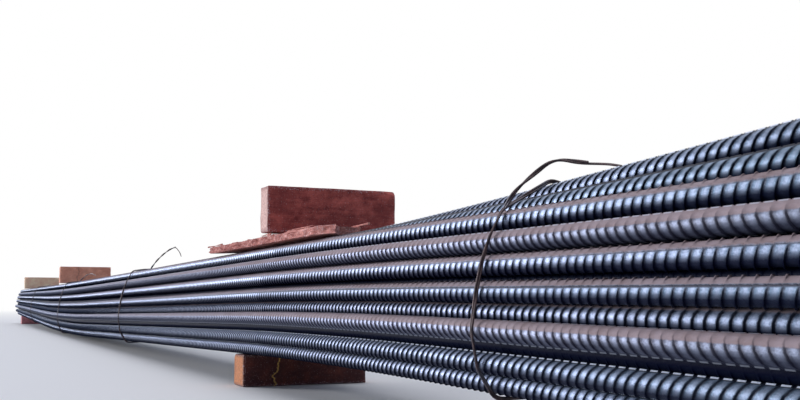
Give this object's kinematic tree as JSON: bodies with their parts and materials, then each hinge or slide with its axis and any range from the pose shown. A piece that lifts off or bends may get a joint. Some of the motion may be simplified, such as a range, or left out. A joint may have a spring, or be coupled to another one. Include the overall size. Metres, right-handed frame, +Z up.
{
  "type": "rebar bundle",
  "caption": "Long bundle of ribbed steel reinforcing bars, tied with wire, sagging between two timber bearers, with timber spacers on top.",
  "frame": {"origin": "on the floor, under the middle of the bundle's box", "axes": "+X along the bars towards the loose near end, +Z up, the front face towards -Y"},
  "size_m": [9, 0.3092, 0.3957],
  "materials": {
    "bar_steel": "hot-rolled ribbed bar, blue-grey mill scale with light rust dust on top",
    "tie_wire": "dull black annealed wire with brown rust",
    "timber": "rough sawn softwood, weathered orange-brown"
  },
  "bodies": {
    "root": {"bars_layer_1": "bar_steel", "bars_layer_2": "bar_steel", "bars_layer_3": "bar_steel", "bars_layer_4": "bar_steel", "bars_layer_5": "bar_steel", "bars_layer_6": "bar_steel", "bars_layer_7": "bar_steel", "bars_layer_8": "bar_steel", "tie_near": "tie_wire", "tie_second": "tie_wire", "tie_third": "tie_wire", "tie_far": "tie_wire", "bearer_near": "timber", "bearer_far": "timber", "board": "timber", "spacer_near": "timber", "spacer_middle": "timber", "spacer_far": "timber"}
  },
  "joints": []
}
